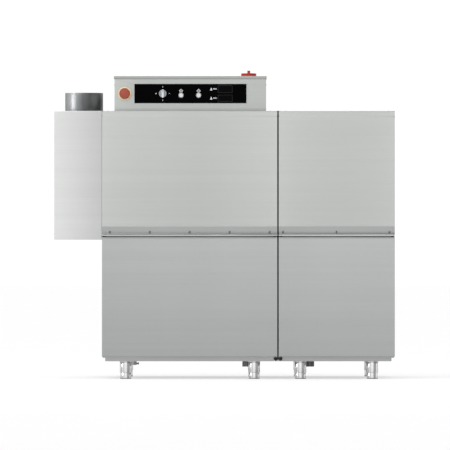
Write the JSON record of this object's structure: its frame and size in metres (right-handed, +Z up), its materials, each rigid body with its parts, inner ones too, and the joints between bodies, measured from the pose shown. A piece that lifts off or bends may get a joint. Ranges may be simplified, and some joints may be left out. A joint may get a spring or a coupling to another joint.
{
  "type": "commercial dishwasher",
  "caption": "Two-module rack-conveyor dishwasher with lifting doors, exit extraction hood, duct collar and a roof-mounted control box.",
  "frame": {"origin": "floor level at the middle of the machine's length and depth", "axes": "+X along the conveyor towards the rack entry, -Y towards the operator, +Z up"},
  "size_m": [1.78, 0.8, 1.6143],
  "materials": {
    "panel_steel": "horizontally brushed stainless steel sheet",
    "frame_steel": "mill-finish stainless steel sections",
    "duct_steel": "rolled stainless steel tube, satin",
    "leg_steel": "bright polished stainless tube",
    "screw_steel": "plain stainless screw",
    "weight_iron": "painted iron bar",
    "pulley_aluminium": "turned aluminium",
    "motor_paint": "smooth slate paint on cast aluminium",
    "seal_rubber": "soft black rubber",
    "clamp_plastic": "black moulded plastic",
    "fascia_black": "black printed film on sheet",
    "display_glass": "dark smoked window",
    "estop_cream": "cream moulded ring",
    "stop_red": "red moulded plastic",
    "knob_white": "off-white moulded plastic",
    "slide_plastic": "natural sliding plastic",
    "pawl_plastic": "orange moulded plastic",
    "gear_grey": "light grey switchgear plastic",
    "curtain_film": "soft translucent strip"
  },
  "bodies": {
    "casing": {"main_chassis": "frame_steel", "prewash_chassis": "frame_steel", "wash_tanks": "frame_steel", "lower_front_panels": "panel_steel", "rear_panels": "panel_steel", "roof_panels": "panel_steel", "end_panels": "panel_steel", "module_seal": "seal_rubber", "joining_clamp": "clamp_plastic", "exit_hood": "panel_steel", "duct_collar": "duct_steel", "door_rails": "frame_steel", "balance_belts": "seal_rubber", "control_box": "panel_steel", "control_box_lid": "panel_steel", "fascia": "fascia_black", "display_windows": "display_glass", "estop_ring": "estop_cream", "main_switch_base": "stop_red", "electrical_gear": "gear_grey", "legs": "leg_steel", "foot_cups": "leg_steel", "rack_rails": "frame_steel", "gearmotor": "motor_paint", "pumps": "motor_paint", "spray_arms": "frame_steel", "booster_boiler": "frame_steel", "heating_elements": "screw_steel", "tank_filters": "frame_steel", "drain_pipes": "duct_steel"},
    "main_door": {"main_door": "panel_steel", "main_door_handle": "panel_steel", "main_door_screws": "screw_steel", "main_door_shoes": "slide_plastic"},
    "prewash_door": {"prewash_door": "panel_steel", "prewash_door_handle": "panel_steel", "prewash_door_screws": "screw_steel", "prewash_door_shoes": "slide_plastic"},
    "main_upper_pulley": {"main_upper_pulley": "pulley_aluminium"},
    "main_lower_pulley": {"main_lower_pulley": "pulley_aluminium"},
    "prewash_upper_pulley": {"prewash_upper_pulley": "pulley_aluminium"},
    "prewash_lower_pulley": {"prewash_lower_pulley": "pulley_aluminium"},
    "main_counterweight": {"main_counterweight": "weight_iron"},
    "prewash_counterweight": {"prewash_counterweight": "weight_iron"},
    "estop_button": {"estop_button": "stop_red"},
    "selector_knob": {"selector_knob": "knob_white"},
    "start_button": {"start_button": "knob_white"},
    "stop_button": {"stop_button": "knob_white"},
    "main_switch_handle": {"main_switch_handle": "stop_red"},
    "carriage": {"carriage": "frame_steel"},
    "entry_pawl": {"entry_pawl": "pawl_plastic"},
    "exit_pawl": {"exit_pawl": "pawl_plastic"},
    "crank": {"crank": "weight_iron"},
    "wash_impeller": {"wash_impeller": "pawl_plastic"},
    "prewash_impeller": {"prewash_impeller": "pawl_plastic"},
    "wash_standpipe": {"wash_standpipe": "slide_plastic"},
    "prewash_standpipe": {"prewash_standpipe": "slide_plastic"},
    "entry_curtain": {"entry_curtain": "curtain_film"},
    "middle_curtain": {"middle_curtain": "curtain_film"},
    "exit_curtain": {"exit_curtain": "curtain_film"}
  },
  "joints": [
    {"name": "main_door_slide", "type": "slide", "parent": "casing", "child": "main_door", "axis": [0, 0, 1], "range_m": [0, 0.42]},
    {"name": "prewash_door_slide", "type": "slide", "parent": "casing", "child": "prewash_door", "axis": [0, 0, 1], "range_m": [0, 0.42]},
    {"name": "main_counterweight_slide", "type": "slide", "parent": "casing", "child": "main_counterweight", "axis": [0, 0, -1], "range_m": [0, 0.42]},
    {"name": "main_lower_pulley_turn", "type": "hinge", "parent": "casing", "child": "main_lower_pulley", "pos_m": [-0.64, -0.324, 0.797], "axis": [1, 0, 0], "range_deg": [-1005, 0]},
    {"name": "main_upper_pulley_turn", "type": "hinge", "parent": "casing", "child": "main_upper_pulley", "pos_m": [-0.64, -0.324, 1.364], "axis": [1, 0, 0], "range_deg": [-1005, 0]},
    {"name": "prewash_counterweight_slide", "type": "slide", "parent": "casing", "child": "prewash_counterweight", "axis": [0, 0, -1], "range_m": [0, 0.42]},
    {"name": "prewash_lower_pulley_turn", "type": "hinge", "parent": "casing", "child": "prewash_lower_pulley", "pos_m": [0.2835, -0.324, 0.797], "axis": [1, 0, 0], "range_deg": [-1005, 0]},
    {"name": "prewash_upper_pulley_turn", "type": "hinge", "parent": "casing", "child": "prewash_upper_pulley", "pos_m": [0.2835, -0.324, 1.364], "axis": [1, 0, 0], "range_deg": [-1005, 0]},
    {"name": "estop_push", "type": "slide", "parent": "casing", "child": "estop_button", "axis": [0, 1, 0], "range_m": [0, 0.005], "stiffness_N_per_m": 900},
    {"name": "start_push", "type": "slide", "parent": "casing", "child": "start_button", "axis": [0, 1, 0], "range_m": [0, 0.003], "stiffness_N_per_m": 600},
    {"name": "stop_push", "type": "slide", "parent": "casing", "child": "stop_button", "axis": [0, 1, 0], "range_m": [0, 0.003], "stiffness_N_per_m": 600},
    {"name": "selector_turn", "type": "hinge", "parent": "casing", "child": "selector_knob", "pos_m": [-0.323, -0.303, 1.492], "axis": [0, 1, 0], "range_deg": [-90, 180]},
    {"name": "main_switch_turn", "type": "hinge", "parent": "casing", "child": "main_switch_handle", "pos_m": [0.128, -0.15, 1.6], "axis": [0, 0, 1], "range_deg": [0, 90]},
    {"name": "carriage_slide", "type": "slide", "parent": "casing", "child": "carriage", "axis": [-1, 0, 0], "range_m": [0, 0.12]},
    {"name": "crank_turn", "type": "hinge", "parent": "casing", "child": "crank", "pos_m": [-0.54, -0.03, 0.8], "axis": [0, 0, 1], "range_deg": [0, 181]},
    {"name": "entry_pawl_tip", "type": "hinge", "parent": "carriage", "child": "entry_pawl", "pos_m": [0.4935, 0, 0.825], "axis": [0, -1, 0], "range_deg": [0, 60]},
    {"name": "exit_pawl_tip", "type": "hinge", "parent": "carriage", "child": "exit_pawl", "pos_m": [-0.21, 0, 0.825], "axis": [0, -1, 0], "range_deg": [0, 60]},
    {"name": "wash_impeller_spin", "type": "hinge", "parent": "casing", "child": "wash_impeller", "pos_m": [-0.0535, 0.06, 0.33], "axis": [1, 0, 0], "continuous": true},
    {"name": "prewash_impeller_spin", "type": "hinge", "parent": "casing", "child": "prewash_impeller", "pos_m": [0.4835, 0.06, 0.33], "axis": [1, 0, 0], "continuous": true},
    {"name": "wash_standpipe_lift", "type": "slide", "parent": "casing", "child": "wash_standpipe", "axis": [0, 0, 1], "range_m": [0, 0.04]},
    {"name": "prewash_standpipe_lift", "type": "slide", "parent": "casing", "child": "prewash_standpipe", "axis": [0, 0, 1], "range_m": [0, 0.04]},
    {"name": "entry_curtain_swing", "type": "hinge", "parent": "casing", "child": "entry_curtain", "pos_m": [0.856, 0, 1.3], "axis": [0, 1, 0], "range_deg": [-45, 45]},
    {"name": "middle_curtain_swing", "type": "hinge", "parent": "casing", "child": "middle_curtain", "pos_m": [0.3175, 0, 1.3], "axis": [0, 1, 0], "range_deg": [-45, 45]},
    {"name": "exit_curtain_swing", "type": "hinge", "parent": "casing", "child": "exit_curtain", "pos_m": [-0.606, 0, 1.3], "axis": [0, 1, 0], "range_deg": [-45, 45]}
  ],
  "couplings": [
    {"joint": "main_counterweight_slide", "follows": "main_door_slide", "ratio": 1},
    {"joint": "main_lower_pulley_turn", "follows": "main_door_slide", "rad_per_m": -41.667},
    {"joint": "main_upper_pulley_turn", "follows": "main_door_slide", "rad_per_m": -41.667},
    {"joint": "prewash_counterweight_slide", "follows": "prewash_door_slide", "ratio": 1},
    {"joint": "prewash_lower_pulley_turn", "follows": "prewash_door_slide", "rad_per_m": -41.667},
    {"joint": "prewash_upper_pulley_turn", "follows": "prewash_door_slide", "rad_per_m": -41.667},
    {"joint": "crank_turn", "follows": "carriage_slide", "rad_per_m": 26.18}
  ]
}
